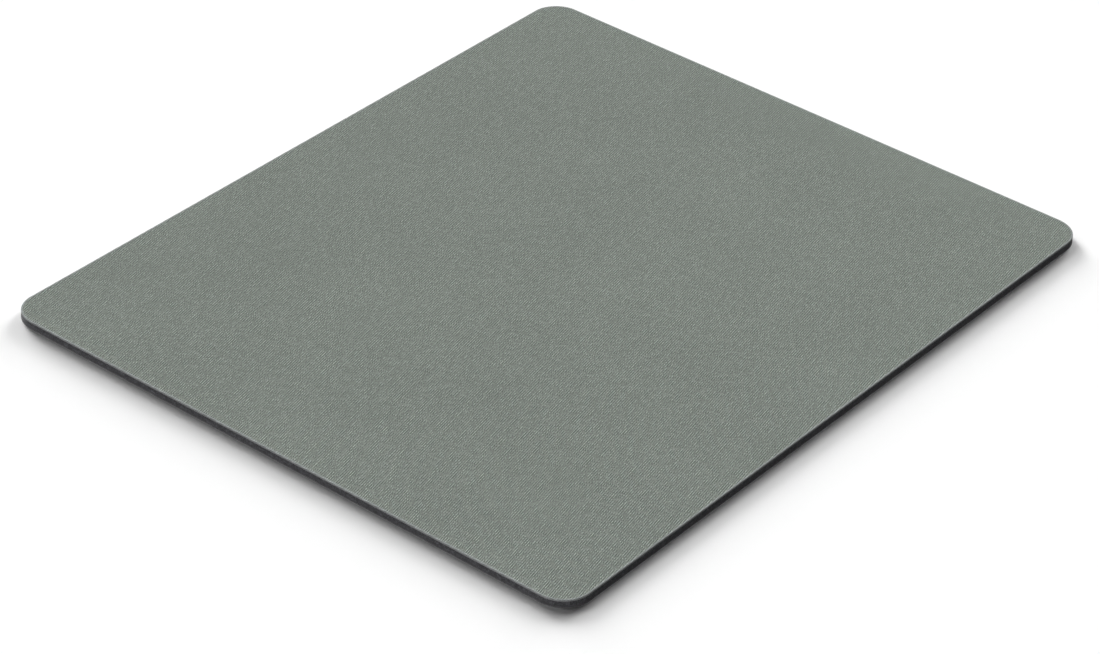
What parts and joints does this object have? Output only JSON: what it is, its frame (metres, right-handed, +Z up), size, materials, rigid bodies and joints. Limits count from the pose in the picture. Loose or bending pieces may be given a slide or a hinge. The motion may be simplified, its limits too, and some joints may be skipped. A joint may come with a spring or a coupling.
{
  "type": "mouse pad",
  "caption": "Thin rounded-rectangle desk mouse pad: knit cloth bonded to a soft foam sheet with a grooved anti-slip rubber underside.",
  "frame": {"origin": "middle of the underside, on the plane of the desk", "axes": "+X along the long side, +Y along the short side, +Z up, out of the cloth"},
  "size_m": [0.24, 0.2, 0.0025],
  "materials": {
    "knit_cloth": "matte fine-ribbed grey knit",
    "bonding_film": "satin adhesive film",
    "foam": "matte dark closed-cell foam",
    "grip_rubber": "matte black embossed rubber"
  },
  "bodies": {
    "root": {"cloth_top": "knit_cloth", "bond_film": "bonding_film", "foam_core": "foam", "grip_skin": "grip_rubber"}
  },
  "joints": []
}
